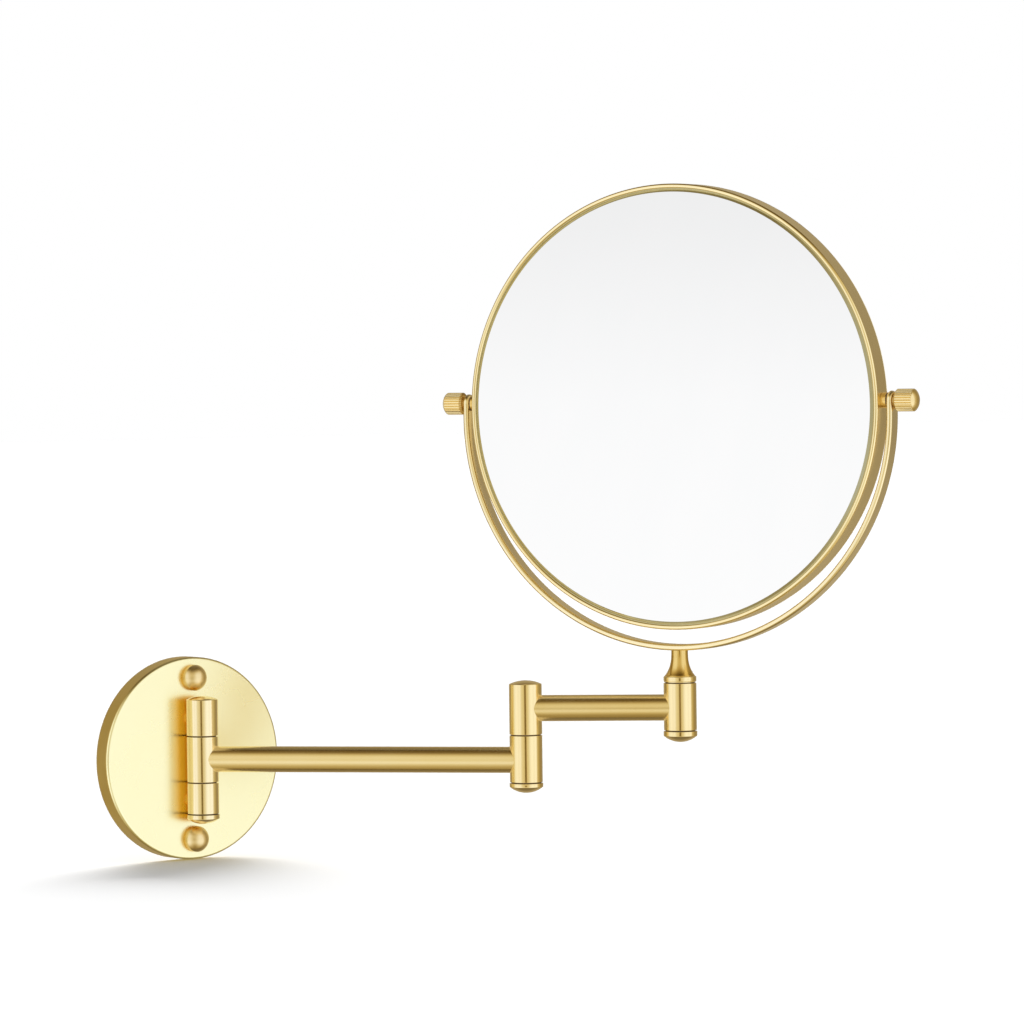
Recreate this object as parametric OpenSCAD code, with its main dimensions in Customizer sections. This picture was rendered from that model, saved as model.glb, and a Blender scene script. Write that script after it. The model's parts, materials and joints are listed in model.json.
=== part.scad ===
// Extendable shaving mirror: a round wall plate, two swinging arms and a two-sided mirror that tilts in a yoke.
// Millimetres. The wall is the plane Y = 0, the mirror stands out along -Y, and Z is up.
// The origin is the middle of the wall plate's back, and the arms rest part of the way round.

/* [Wall plate] */
// Diameter of the wall plate
plate_d = 94; // [90:1:110]
// Depth of the wall plate, from the wall to its face
plate_t = 9.5; // [9.5:0.5:12]
// Thickness of the pressed plate
plate_wall = 1.5; // [1.2:0.1:1.8]
// Distance between the two cap nuts
nut_spacing = 75; // [74:1:78]
// Diameter of a cap nut
nut_d = 12; // [9:0.1:12.4]
// Height of a cap nut
nut_h = 6.8; // [5.5:0.1:7]

/* [Bracket] */
// Width of the bracket strip
bracket_w = 16; // [14:1:20]
// Thickness of the bracket strip
bracket_t = 2; // [1.5:0.5:2.5]
// Distance between the two wall screw slots
slot_spacing = 56; // [52:1:58]
// Width of a wall screw slot
slot_w = 4.5; // [4:0.5:5]
// Length of a wall screw slot, end to end
slot_l = 8; // [7:0.5:9]

/* [Knuckles] */
// Diameter of the knuckles at the wall
wall_knuckle_d = 14.8; // [14:0.1:14.8]
// Diameter of the knuckles at the elbow and under the head
knuckle_d = 15; // [14.5:0.1:16]
// Distance of the wall pivot's axis from the plate's face
pivot_reach = 7.75; // [7.75:0.25:10]
// Diameter of the pivot pins
pin_d = 5; // [4.5:0.1:5.5]
// Radial running clearance round a pin
run_gap = 0.05; // [0.02:0.01:0.08]
// Thickness of a friction washer
washer_t = 0.5; // [0.3:0.1:0.8]

/* [Arms] */
// Outer diameter of the arm tubes
tube_d = 12; // [10:0.5:12.5]
// Wall thickness of the arm tubes
tube_wall = 1.2; // [1:0.1:1.5]
// Length of the inner arm between its pivots
inner_l = 153; // [120:1:200]
// Length of the outer arm between its pivots
outer_l = 71; // [60:1:110]
// Height of the outer arm above the inner arm
outer_z = 23.7; // [23.5:0.1:24]

/* [Yoke] */
// Outer radius of the yoke
yoke_r = 107.2; // [106.8:0.1:109]
// Thickness of the yoke's flat bar
yoke_t = 2.8; // [2.4:0.1:3]
// Width of the yoke's flat bar
yoke_w = 8.6; // [8:0.2:10]
// Height of the yoke's underside
yoke_z = 49.8; // [49.5:0.1:52]
// Height of the tilt axle
axle_z = 163.1; // [162:0.1:166]

/* [Mirror] */
// Outer diameter of the mirror frame
ring_d = 203; // [200:1:203]
// Depth of the mirror frame
ring_depth = 13; // [13:0.5:14]
// Width of the rounded bead at each edge of the frame
bead_w = 2.2; // [2:0.2:3]
// Height of the tilt axle above the mirror's centre
axle_rise = 2.2; // [0:0.1:2.5]
// Thickness of a mirror glass
glass_t = 1.8; // [1.6:0.1:1.8]
// Width of the bevel round the plain glass
glass_bevel_w = 1.4; // [1:0.1:2]
// How far the plain glass stands above its edge
glass_bevel_h = 0.8; // [0.4:0.1:0.8]
// Depth of the hollow in the magnifying glass
glass_sag = 4.2; // [2:0.1:4.2]

/* [Tilt knobs] */
// Diameter of a tilt knob
knob_d = 10.2; // [9:0.1:12]
// Number of flutes round a tilt knob
knob_flutes = 28; // [20:1:32]
// Diameter of a tilt screw
screw_d = 4; // [3.5:0.1:4]

/* [Rest pose] */
// Direction of the inner arm, from +X
inner_dir = -47.4; // [-90:0.1:-10]
// Direction of the outer arm, from +X
outer_dir = -42; // [-90:0.1:0]
// Direction of the tilt axle, from +X
head_dir = -62; // [-90:0.1:0]

/* [Hidden] */
$fn = 96;

gold = "#d4ab57";
steel = "#9a9ca0";
nylon = "#e8e6df";
silvered = "#dfe5e8";
foam = "#3a3a3c";

// Clearance between flat faces that slide on each other
slide_gap = 0.05;

// Wall plate
plate_r = plate_d / 2;
plate_edge = 1.4;
stud_r = 2;
stud_hole_r = 2.1;
nut_z = nut_spacing / 2;
nut_side = 2.6;
bracket_l = nut_spacing + 9;
clamp_hole_r = 2.1;
clamp_head_r = 3.5;
clamp_head_h = 2.6;
clamp_l = 6;
foot_r = 4.6;

// Wall pivot, from the bottom up
pivot_y = -(plate_t + pivot_reach);
wall_r = wall_knuckle_d / 2;
wall_mid_h = 21;
wall_up_z = wall_mid_h / 2 + washer_t;
wall_up_h = 16.6;
wall_low_h = 14.2;
wall_cap_h = 2.4;
wall_cap_dome = 2.5;
top_dome = 1.7;
clamp_z = wall_up_z + 8;

// Elbow
knuckle_r = knuckle_d / 2;
elbow_low_z = -10.1;
elbow_seam_z = 11.3;
elbow_up_z = elbow_seam_z + washer_t;
elbow_top_z = 34.8;
elbow_cap_h = 2.2;
elbow_cap_dome = 2.8;

// Head swivel
head_low_z = 13.4;
head_top_z = 34.9;
head_cap_h = 2.6;
head_cap_dome = 2.9;
collar_z = head_top_z + washer_t;
collar_h = 2.7;
stem_base_r = 7;
stem_top_r = 3.8;
flare_curve = 2.9;
stem_screw_r = 1.5;
stem_screw_l = 7;
stem_head_r = 3;

// Fixings hidden in each lower knuckle
pin_r = pin_d / 2;
pin_grip = 11;
pocket_r = 5.2;
pocket_h = 8.6;
spring_t = 1.25;
spring_r = 4.6;
hex_nut_h = 2.7;
hex_nut_flats = 8;
pin_tail = 0.8;
plug_h = 2.5;
cap_proud = 0.2;
washer_r = 6.8;

// Tubes
tube_r = tube_d / 2;
spigot_r = tube_r - tube_wall;
spigot_l = 10;

// Yoke
bar_edge = 1.3;
yoke_arc_z = yoke_z + yoke_r;
yoke_in_r = yoke_r - yoke_t;

// Mirror head, in its own frame: X along the tilt axle, -Y out of the plain glass
ring_r = ring_d / 2;
bead_r = bead_w / 2;
half_depth = ring_depth / 2;
band_wall = 1.2;
band_in_r = ring_r - band_wall;
lip_y = half_depth - bead_r - 0.1;
rear_lip_y = half_depth - bead_r - 1;
bezel_y = half_depth - bead_r;
glass_r = band_in_r - 0.1;
glass_flat_r = ring_r - bead_w - 0.1 - glass_bevel_w;
glass_curve = glass_r * glass_r / (2 * glass_sag) + glass_sag / 2;
spacer_w = 5.2;
spacer_back = 2.15;
mirror_z = axle_z - axle_rise;
boss_r = 3.5;
boss_neck_r = 2.5;
tilt_washer_t = 0.4;
boss_end = yoke_in_r - tilt_washer_t - 2 * slide_gap;
screw_r = screw_d / 2;
screw_start = band_in_r + 0.3;

// Tilt knob, measured out from the yoke's side
knob_r = knob_d / 2;
knob_start = yoke_r + slide_gap;
knob_neck_r = 3.2;
knob_neck_l = 0.7;
knob_grip_l = 9.4;
knob_end_l = 2;
knob_bevel = 0.9;
flute_r = 0.36;
screw_end = knob_start + 6;

// A knuckle's place along each arm
elbow_x = inner_l * cos(inner_dir);
elbow_y = pivot_y + inner_l * sin(inner_dir);
head_x = elbow_x + outer_l * cos(outer_dir);
head_y = elbow_y + outer_l * sin(outer_dir);

// Points of a low dome of radius r and height h, from its rim to its crown
function dome_points(r, h, n = 16) =
    let (ball = (r * r + h * h) / (2 * h), rim = asin(r / ball))
    [for (i = [0 : n]) let (a = rim * (1 - i / n)) [ball * sin(a), ball * cos(a) - ball + h]];

// Points of a quarter round about a centre, from one angle to another
function arc_points(x, y, r, from, to, n = 8) =
    [for (i = [0 : n]) let (a = from + (to - from) * i / n) [x + r * cos(a), y + r * sin(a)]];

// A bar's section with rounded edges, centred
function bar_points(w, h, r) = concat(
    arc_points(w / 2 - r, h / 2 - r, r, 0, 90),
    arc_points(r - w / 2, h / 2 - r, r, 90, 180),
    arc_points(r - w / 2, r - h / 2, r, 180, 270),
    arc_points(w / 2 - r, r - h / 2, r, 270, 360));

module at_wall_pivot() translate([0, pivot_y, 0]) rotate(inner_dir) children();
module at_elbow_inner() translate([elbow_x, elbow_y, 0]) rotate(inner_dir) children();
module at_elbow() translate([elbow_x, elbow_y, 0]) rotate(outer_dir) children();
module at_head_outer() translate([head_x, head_y, 0]) rotate(outer_dir) children();
module at_head() translate([head_x, head_y, 0]) rotate(head_dir) children();
module at_mirror() at_head() translate([0, 0, mirror_z]) rotate([90, 0, 0]) children();
module at_axle(side) at_head() translate([0, 0, axle_z]) rotate([0, side * 90, 0]) children();

// Points out of the plate's face
module out_of_wall(z) translate([0, 0, z]) rotate([90, 0, 0]) children();

// A plain cylinder between two heights
module barrel(r, low, high) translate([0, 0, low]) cylinder(r = r, h = high - low);

// A knuckle whose top is a low dome, with a blind hole for the pin from below
module domed_knuckle(r, low, high, rise) difference() {
    rotate_extrude() polygon(concat([[0, low], [r, low]], [for (p = dome_points(r, rise)) p + [0, high]]));
    barrel(pin_r, low - 1, low + pin_grip);
}

// A knuckle with a pin hole and, below it, a pocket for the fixings
module pocket_knuckle(r, low, high, hole_r) difference() {
    barrel(r, low, high);
    barrel(hole_r, low - 1, high + 1);
    barrel(pocket_r, low - 1, low + pocket_h);
}

// A cap with a plain band, a domed end and a plug that fills the pocket's mouth
module end_cap(r, low, band, dome) {
    cap_r = r + cap_proud;
    rotate_extrude() polygon(concat(
        [[0, low + plug_h], [pocket_r, low + plug_h], [pocket_r, low], [cap_r, low], [cap_r, low - band]],
        [for (p = dome_points(cap_r, dome)) if (p[0] < cap_r - 0.01) [p[0], low - band - p[1]]]));
}

module flat_washer(low) difference() {
    barrel(washer_r, low, low + washer_t);
    barrel(pin_r + run_gap, low - 1, low + washer_t + 1);
}

// A split spring washer, flattened, under the floor of a pocket
module spring_washer(low, gap) {
    top = low + pocket_h - gap;
    difference() {
        barrel(spring_r, top - spring_t, top);
        barrel(pin_r, top - spring_t - 1, top + 1);
        translate([0, -0.4, top - spring_t - 1]) cube([spring_r + 1, 0.8, spring_t + 2]);
    }
}

module hex_nut(low, gap) {
    top = low + pocket_h - gap - spring_t;
    difference() {
        translate([0, 0, top - hex_nut_h]) cylinder(d = hex_nut_flats / cos(30), h = hex_nut_h, $fn = 6);
        barrel(pin_r, top - hex_nut_h - 1, top + 1);
    }
}

// A pin that ends just below the nut of the pocket that starts at low
module pivot_pin(low, top, gap) barrel(pin_r, low + pocket_h - gap - spring_t - hex_nut_h - pin_tail, top);

// A tube along +X from one knuckle to the next, scribed to both
module arm_tube(length, z, start_r, end_r) translate([0, 0, z]) difference() {
    rotate([0, 90, 0]) cylinder(r = tube_r, h = length);
    translate([-1, 0, 0]) rotate([0, 90, 0]) cylinder(r = spigot_r, h = length + 2);
    barrel(start_r, -tube_r - 1, tube_r + 1);
    translate([length, 0, 0]) barrel(end_r, -tube_r - 1, tube_r + 1);
}

// The spigot of a knuckle, side 1 along +X and -1 along -X, which fills the tube's end
module tube_spigot(side, z, r) translate([0, 0, z]) rotate([0, side * 90, 0])
    translate([0, 0, r - 3]) cylinder(r = spigot_r, h = spigot_l + 3);

// A fixed wall knuckle's foot, which seats on the plate and takes a screw from behind
module knuckle_foot(z) translate([0, pivot_y, z]) rotate([-90, 0, 0]) cylinder(r = foot_r, h = pivot_reach);
module knuckle_foot_thread(z) out_of_wall(z) translate([0, 0, plate_t - 1]) cylinder(r = stud_r, h = 3.5);

module wall_bracket() color(steel) difference() {
    union() {
        translate([-bracket_w / 2, -bracket_t, -nut_z]) cube([bracket_w, bracket_t, nut_spacing]);
        for (side = [-1, 1]) intersection() {
            out_of_wall(side * nut_z) cylinder(r = bracket_w / 2, h = bracket_t);
            translate([-bracket_w / 2, -bracket_t, -bracket_l / 2]) cube([bracket_w, bracket_t, bracket_l]);
        }
    }
    for (side = [-1, 1]) {
        out_of_wall(side * nut_z) translate([0, 0, -1]) cylinder(r = stud_r, h = bracket_t + 2);
        for (end = [-1, 1]) out_of_wall(side * slot_spacing / 2 + end * (slot_l - slot_w) / 2)
            translate([0, 0, -1]) cylinder(d = slot_w, h = bracket_t + 2);
        translate([-slot_w / 2, -bracket_t - 1, side * slot_spacing / 2 - (slot_l - slot_w) / 2])
            cube([slot_w, bracket_t + 2, slot_l - slot_w]);
    }
}

module bracket_studs() color(steel) for (side = [-1, 1])
    out_of_wall(side * nut_z) cylinder(r = stud_r, h = plate_t + 3.5);

module wall_plate() color(gold) difference() {
    rotate([90, 0, 0]) rotate_extrude($fn = 180) polygon(concat(
        [[0, plate_t]], arc_points(plate_r - plate_edge, plate_t - plate_edge, plate_edge, 90, 0),
        [[plate_r, 0], [plate_r - plate_wall, 0], [plate_r - plate_wall, plate_t - plate_wall],
         [0, plate_t - plate_wall]]));
    for (side = [-1, 1]) {
        out_of_wall(side * nut_z) cylinder(r = stud_hole_r, h = plate_t + 1);
        out_of_wall(side * clamp_z) cylinder(r = clamp_hole_r, h = plate_t + 1);
    }
}

module cap_nuts() color(gold) for (side = [-1, 1]) out_of_wall(side * nut_z) translate([0, 0, plate_t])
    difference() {
        rotate_extrude() polygon(concat(
            [[0, 0], [nut_d / 2, 0]],
            [for (p = dome_points(nut_d / 2, nut_h - nut_side)) p + [0, nut_side]]));
        translate([0, 0, -1]) cylinder(r = stud_r, h = 4.5);
    }

module upper_wall_knuckle() color(gold) difference() {
    union() {
        translate([0, pivot_y, 0]) domed_knuckle(wall_r, wall_up_z, wall_up_z + wall_up_h, top_dome);
        difference() {
            knuckle_foot(clamp_z);
            translate([0, pivot_y, 0]) barrel(wall_r - 1, wall_up_z, wall_up_z + wall_up_h);
        }
    }
    knuckle_foot_thread(clamp_z);
}

module lower_wall_knuckle() color(gold) difference() {
    union() {
        translate([0, pivot_y, 0]) pocket_knuckle(wall_r, -wall_up_z - wall_low_h, -wall_up_z, pin_r);
        difference() {
            knuckle_foot(-clamp_z);
            translate([0, pivot_y, 0]) barrel(wall_r - 1, -wall_up_z - wall_low_h, -wall_up_z);
        }
    }
    knuckle_foot_thread(-clamp_z);
}

module knuckle_screws() color(steel) for (side = [-1, 1]) out_of_wall(side * clamp_z) {
    translate([0, 0, plate_t - plate_wall - clamp_head_h]) cylinder(r = clamp_head_r, h = clamp_head_h);
    translate([0, 0, plate_t - plate_wall]) cylinder(r = stud_r, h = plate_wall + 2);
}

module wall_pivot_pin() color(steel) translate([0, pivot_y, 0])
    pivot_pin(-wall_up_z - wall_low_h, wall_up_z + pin_grip, 0);

module wall_pivot_washers() color(nylon) translate([0, pivot_y, 0]) {
    translate([0, 0, slide_gap]) difference() {
        barrel(washer_r - 0.4, wall_mid_h / 2, wall_up_z - slide_gap);
        barrel(pin_r, 0, wall_up_z + 1);
    }
    translate([0, 0, -slide_gap]) difference() {
        barrel(washer_r - 0.4, -wall_up_z + slide_gap, -wall_mid_h / 2);
        barrel(pin_r, -wall_up_z - 1, 0);
    }
}

module wall_pivot_spring_washer() color(steel) translate([0, pivot_y, 0])
    spring_washer(-wall_up_z - wall_low_h, 0);
module wall_pivot_nut() color(steel) translate([0, pivot_y, 0]) hex_nut(-wall_up_z - wall_low_h, 0);
module wall_pivot_cap() color(gold) translate([0, pivot_y, 0])
    end_cap(wall_r, -wall_up_z - wall_low_h, wall_cap_h, wall_cap_dome);

module inner_arm_knuckle() color(gold) at_wall_pivot() difference() {
    union() {
        barrel(wall_r, -wall_mid_h / 2, wall_mid_h / 2);
        tube_spigot(1, 0, wall_r);
    }
    barrel(pin_r + run_gap, -wall_mid_h, wall_mid_h);
}

module inner_arm_tube() color(gold) at_wall_pivot() arm_tube(inner_l, 0, wall_r, knuckle_r);

module elbow_lower_knuckle() color(gold) at_elbow_inner() {
    pocket_knuckle(knuckle_r, elbow_low_z, elbow_seam_z, pin_r + run_gap);
    difference() {
        tube_spigot(-1, 0, knuckle_r);
        barrel(knuckle_r - 1, -tube_r, tube_r);
    }
}

module elbow_cap() color(gold) at_elbow_inner() end_cap(knuckle_r, elbow_low_z, elbow_cap_h, elbow_cap_dome);

module elbow_upper_knuckle() color(gold) at_elbow() {
    domed_knuckle(knuckle_r, elbow_up_z, elbow_top_z, top_dome);
    difference() {
        tube_spigot(1, outer_z, knuckle_r);
        barrel(knuckle_r - 1, outer_z - tube_r, outer_z + tube_r);
    }
}

module elbow_pin() color(steel) at_elbow() pivot_pin(elbow_low_z, elbow_up_z + pin_grip, slide_gap);
module elbow_washer() color(nylon) at_elbow() difference() {
    barrel(washer_r, elbow_seam_z + slide_gap, elbow_up_z);
    barrel(pin_r, elbow_seam_z - 1, elbow_up_z + 1);
}
module elbow_spring_washer() color(steel) at_elbow() spring_washer(elbow_low_z, slide_gap);
module elbow_nut() color(steel) at_elbow() hex_nut(elbow_low_z, slide_gap);

module outer_arm_tube() color(gold) at_elbow() arm_tube(outer_l, outer_z, knuckle_r, knuckle_r);

module head_knuckle() color(gold) at_head_outer() {
    pocket_knuckle(knuckle_r, head_low_z, head_top_z, pin_r + run_gap);
    difference() {
        tube_spigot(-1, outer_z, knuckle_r);
        barrel(knuckle_r - 1, outer_z - tube_r, outer_z + tube_r);
    }
}

module head_cap() color(gold) at_head_outer() end_cap(knuckle_r, head_low_z, head_cap_h, head_cap_dome);

// The turned stem: a collar, then a flare that draws in to the yoke
module yoke_stem() color(gold) at_head() difference() {
    flare_z = collar_z + collar_h;
    flare_h = yoke_z - flare_z;
    rotate_extrude() polygon(concat(
        [[0, collar_z], [knuckle_r - 0.3, collar_z], [knuckle_r, collar_z + 0.5],
         [knuckle_r, flare_z - 0.6], [knuckle_r - 0.4, flare_z]],
        [for (i = [0 : 14]) let (t = i / 14)
            [stem_top_r + (stem_base_r - stem_top_r) * pow(1 - t, flare_curve), flare_z + flare_h * t]],
        [[stem_top_r, yoke_z + yoke_t / 2], [0, yoke_z + yoke_t / 2]]));
    barrel(pin_r, collar_z - 1, collar_z + 7.6);
    barrel(stem_screw_r, yoke_z + yoke_t - stem_screw_l, yoke_z + yoke_t);
    translate([0, 0, yoke_arc_z]) rotate([90, 0, 0]) cylinder(r = yoke_r, h = 2 * yoke_w, center = true, $fn = 360);
}

module swivel_pin() color(steel) at_head() pivot_pin(head_low_z, collar_z + 7.6, slide_gap);
module swivel_washer() color(nylon) at_head() difference() {
    barrel(washer_r, head_top_z + slide_gap, collar_z);
    barrel(pin_r, head_top_z - 1, collar_z + 1);
}
module swivel_spring_washer() color(steel) at_head() spring_washer(head_low_z, slide_gap);
module swivel_nut() color(steel) at_head() hex_nut(head_low_z, slide_gap);

// A countersunk screw down through the yoke into the stem
module stem_screw() color(steel) at_head() rotate_extrude() polygon([
    [0, yoke_z + yoke_t - 0.1], [stem_head_r, yoke_z + yoke_t - 0.1],
    [stem_screw_r, yoke_z + yoke_t - 0.1 - (stem_head_r - stem_screw_r)],
    [stem_screw_r, yoke_z + yoke_t - stem_screw_l + 0.6], [0, yoke_z + yoke_t - stem_screw_l + 0.6]]);

module yoke_band() color(gold) at_head() difference() {
    union() {
        translate([0, 0, yoke_arc_z]) rotate([90, 0, 0]) rotate(180) rotate_extrude(angle = 180, $fn = 240)
            translate([yoke_r - yoke_t / 2, 0]) polygon(bar_points(yoke_t, yoke_w, bar_edge));
        for (side = [-1, 1]) translate([side * (yoke_r - yoke_t / 2), 0, yoke_arc_z]) {
            linear_extrude(axle_z - yoke_arc_z) polygon(bar_points(yoke_t, yoke_w, bar_edge));
            translate([0, 0, axle_z - yoke_arc_z]) rotate([0, 90, 0]) rotate_extrude() intersection() {
                rotate(90) polygon(bar_points(yoke_t, yoke_w, bar_edge));
                translate([0, -yoke_t]) square([yoke_w, 2 * yoke_t]);
            }
        }
    }
    for (side = [-1, 1]) translate([0, 0, axle_z]) rotate([0, side * 90, 0])
        translate([0, 0, yoke_in_r - 1]) cylinder(r = screw_r + run_gap, h = yoke_t + 2);
    barrel(stem_screw_r, yoke_z - 1, yoke_z + yoke_t + 1);
    translate([0, 0, yoke_z + yoke_t - 0.1 - (stem_head_r - stem_screw_r)])
        cylinder(r1 = stem_screw_r, r2 = stem_head_r + 0.5, h = stem_head_r + 0.5 - stem_screw_r);
}

// The frame: a hoop whose front edge is rolled into a bead that holds the plain glass
module mirror_frame() color(gold) difference() {
    at_mirror() rotate_extrude($fn = 240) polygon(concat(
        [[band_in_r, -bezel_y], [ring_r, -bezel_y]],
        arc_points(ring_r - bead_r, half_depth - bead_r, bead_r, 0, 180, 12),
        [[ring_r - bead_w, lip_y], [band_in_r, lip_y]]));
    for (side = [-1, 1]) at_axle(side) translate([0, 0, band_in_r - 3]) cylinder(r = boss_neck_r, h = 6);
}

// The ring pressed into the back of the hoop, which holds the magnifying glass
module rear_bezel() color(gold) at_mirror() rotate_extrude($fn = 240) polygon(concat(
    [[ring_r - bead_w, -rear_lip_y], [band_in_r - 0.02, -rear_lip_y],
        [band_in_r - 0.02, -bezel_y], [ring_r, -bezel_y]],
    arc_points(ring_r - bead_r, bead_r - half_depth, bead_r, 0, -180, 12)));

// A flat glass with a ground bevel round its edge
module front_glass() color(silvered) at_mirror() rotate_extrude($fn = 240) polygon([
    [0, lip_y - glass_t], [glass_r, lip_y - glass_t], [glass_r, lip_y], [glass_flat_r + glass_bevel_w, lip_y],
    [glass_flat_r, lip_y + glass_bevel_h], [0, lip_y + glass_bevel_h]]);

// A slumped glass of even thickness, hollow towards the back
module rear_glass() color(silvered) at_mirror() rotate_extrude($fn = 240) polygon(concat(
    [for (i = [0 : 12]) let (r = glass_r * i / 12) [r, glass_height(r)]],
    [for (i = [12 : -1 : 0]) let (r = glass_r * i / 12) [r, glass_height(r) + glass_t]]));
function glass_height(r) = glass_sag - rear_lip_y - (glass_curve - sqrt(glass_curve * glass_curve - r * r));

module glass_spacer() color(foam) at_mirror() difference() {
    barrel(glass_r, -spacer_back, lip_y - glass_t);
    barrel(glass_r - spacer_w, -spacer_back - 1, lip_y);
}

// A boss riveted through the hoop, threaded for the tilt screw
module tilt_boss(side) difference() {
    union() {
        difference() {
            at_axle(side) translate([0, 0, band_in_r]) cylinder(r = boss_r, h = boss_end - band_in_r);
            at_mirror() cylinder(r = ring_r, h = 3 * boss_r, center = true, $fn = 240);
        }
        at_axle(side) translate([0, 0, band_in_r + 0.1]) cylinder(r = boss_neck_r, h = 2);
    }
    at_axle(side) translate([0, 0, band_in_r - 1]) cylinder(r = screw_r + run_gap, h = 8);
}
module left_boss() color(gold) tilt_boss(-1);
module right_boss() color(gold) tilt_boss(1);

module tilt_washers() color(nylon) for (side = [-1, 1]) at_axle(side)
    translate([0, 0, boss_end]) difference() {
        cylinder(r = boss_r - 0.1, h = tilt_washer_t);
        translate([0, 0, -1]) cylinder(r = screw_r + run_gap, h = tilt_washer_t + 2);
    }

module tilt_screw(side) at_axle(side) translate([0, 0, screw_start])
    cylinder(r = screw_r, h = screw_end - screw_start);
module left_tilt_screw() color(steel) tilt_screw(-1);
module right_tilt_screw() color(steel) tilt_screw(1);

// A thumb knob with a neck, a fluted grip and a smooth domed end
module tilt_knob(side) at_axle(side) translate([0, 0, knob_start]) difference() {
    union() {
        cylinder(r = knob_neck_r, h = knob_neck_l);
        intersection() {
            translate([0, 0, knob_neck_l]) linear_extrude(knob_grip_l - knob_neck_l) difference() {
                circle(r = knob_r);
                for (i = [0 : knob_flutes - 1]) rotate(i * 360 / knob_flutes)
                    translate([knob_r, 0]) circle(r = flute_r, $fn = 16);
            }
            translate([0, 0, knob_neck_l])
                cylinder(r1 = knob_r - knob_bevel, r2 = knob_r + knob_grip_l - knob_bevel, h = knob_grip_l);
        }
        translate([0, 0, knob_grip_l]) rotate_extrude() polygon(concat(
            [[0, 0], [knob_r - 0.3, 0], [knob_r - 0.3, 0.2]],
            [for (p = dome_points(knob_r - 0.9, knob_end_l - 0.7)) p + [0, 0.7]]));
    }
    translate([0, 0, -1]) cylinder(r = screw_r, h = screw_end - knob_start + 1);
}
module left_knob() color(gold) tilt_knob(-1);
module right_knob() color(gold) tilt_knob(1);

wall_bracket();
bracket_studs();
wall_plate();
cap_nuts();
upper_wall_knuckle();
lower_wall_knuckle();
knuckle_screws();
wall_pivot_pin();
wall_pivot_washers();
wall_pivot_spring_washer();
wall_pivot_nut();
wall_pivot_cap();
inner_arm_knuckle();
inner_arm_tube();
elbow_lower_knuckle();
elbow_cap();
elbow_upper_knuckle();
elbow_pin();
elbow_washer();
elbow_spring_washer();
elbow_nut();
outer_arm_tube();
head_knuckle();
head_cap();
yoke_stem();
swivel_pin();
swivel_washer();
swivel_spring_washer();
swivel_nut();
stem_screw();
yoke_band();
mirror_frame();
rear_bezel();
front_glass();
rear_glass();
glass_spacer();
left_boss();
right_boss();
tilt_washers();
left_tilt_screw();
left_knob();
right_tilt_screw();
right_knob();
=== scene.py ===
import json
import math

import bpy
from mathutils import Matrix, Vector


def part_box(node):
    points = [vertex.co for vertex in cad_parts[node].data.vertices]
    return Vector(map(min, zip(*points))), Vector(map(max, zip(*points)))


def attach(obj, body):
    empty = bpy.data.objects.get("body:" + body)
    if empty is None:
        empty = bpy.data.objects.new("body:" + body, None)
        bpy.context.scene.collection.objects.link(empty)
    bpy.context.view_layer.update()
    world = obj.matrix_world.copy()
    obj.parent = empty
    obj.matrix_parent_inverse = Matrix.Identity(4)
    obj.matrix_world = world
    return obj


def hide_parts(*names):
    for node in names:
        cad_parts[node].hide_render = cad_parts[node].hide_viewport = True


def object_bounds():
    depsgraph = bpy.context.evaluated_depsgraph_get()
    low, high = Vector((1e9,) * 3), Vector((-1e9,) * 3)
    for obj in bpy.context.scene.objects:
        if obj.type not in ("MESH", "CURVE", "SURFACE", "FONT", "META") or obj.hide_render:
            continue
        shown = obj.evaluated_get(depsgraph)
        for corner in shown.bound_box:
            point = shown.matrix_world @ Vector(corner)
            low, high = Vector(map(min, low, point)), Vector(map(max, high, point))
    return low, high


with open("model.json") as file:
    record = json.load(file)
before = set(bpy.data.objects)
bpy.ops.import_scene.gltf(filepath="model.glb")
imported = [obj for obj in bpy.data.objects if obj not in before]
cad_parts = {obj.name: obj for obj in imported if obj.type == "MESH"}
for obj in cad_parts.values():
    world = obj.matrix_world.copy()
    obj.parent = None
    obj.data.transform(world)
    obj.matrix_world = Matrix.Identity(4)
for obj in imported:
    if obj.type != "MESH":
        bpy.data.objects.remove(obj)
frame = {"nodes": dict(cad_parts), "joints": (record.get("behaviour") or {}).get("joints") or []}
cad_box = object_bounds()
joints = {joint["name"]: joint for joint in frame["joints"]}

# ---------------------------------------------------------------- Camera
# A long lens a little above the arms, turned slightly, with the wall plate low on the left and
# the mirror high on the right.
view_azimuth = math.radians(-35.758)
view_pitch = math.radians(-1.571)
view_roll = math.radians(-0.696)
stand_off = 2.712
aim = Vector((0.1910, 0.0003, 0.1837))
ahead = Vector((-math.sin(view_azimuth), math.cos(view_azimuth), 0.0))
bpy.ops.object.camera_add(location=aim - ahead * stand_off)
camera = bpy.context.object
camera.rotation_euler = (
    Matrix.Rotation(view_azimuth, 4, "Z")
    @ Matrix.Rotation(math.radians(90) + view_pitch, 4, "X")
    @ Matrix.Rotation(view_roll, 4, "Z")
).to_euler()
camera.data.lens = 196.5
camera.data.sensor_width = 36.0
camera.data.clip_end = 60.0
bpy.context.scene.camera = camera

# ---------------------------------------------------------------- Studio light and floor
# Two tall white walls of soft light stand left and right of the camera, with a dark gap between them
# at the camera, a bright card on the right and grey cloth behind the object. The backdrop and the floor
# are white.
world = bpy.data.worlds.new("studio")
world.use_nodes = True
bpy.context.scene.world = world
bpy.context.scene.view_settings.view_transform = "Standard"


def add_node(tree, kind, **settings):
    """A node in a tree, with its settings; a setting named like a socket sets that socket"""
    node = tree.nodes.new("ShaderNode" + kind)
    for name, value in settings.items():
        if hasattr(node, name):
            setattr(node, name, value)
        else:
            node.inputs[name.replace("_", " ")].default_value = value
    return node


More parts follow.
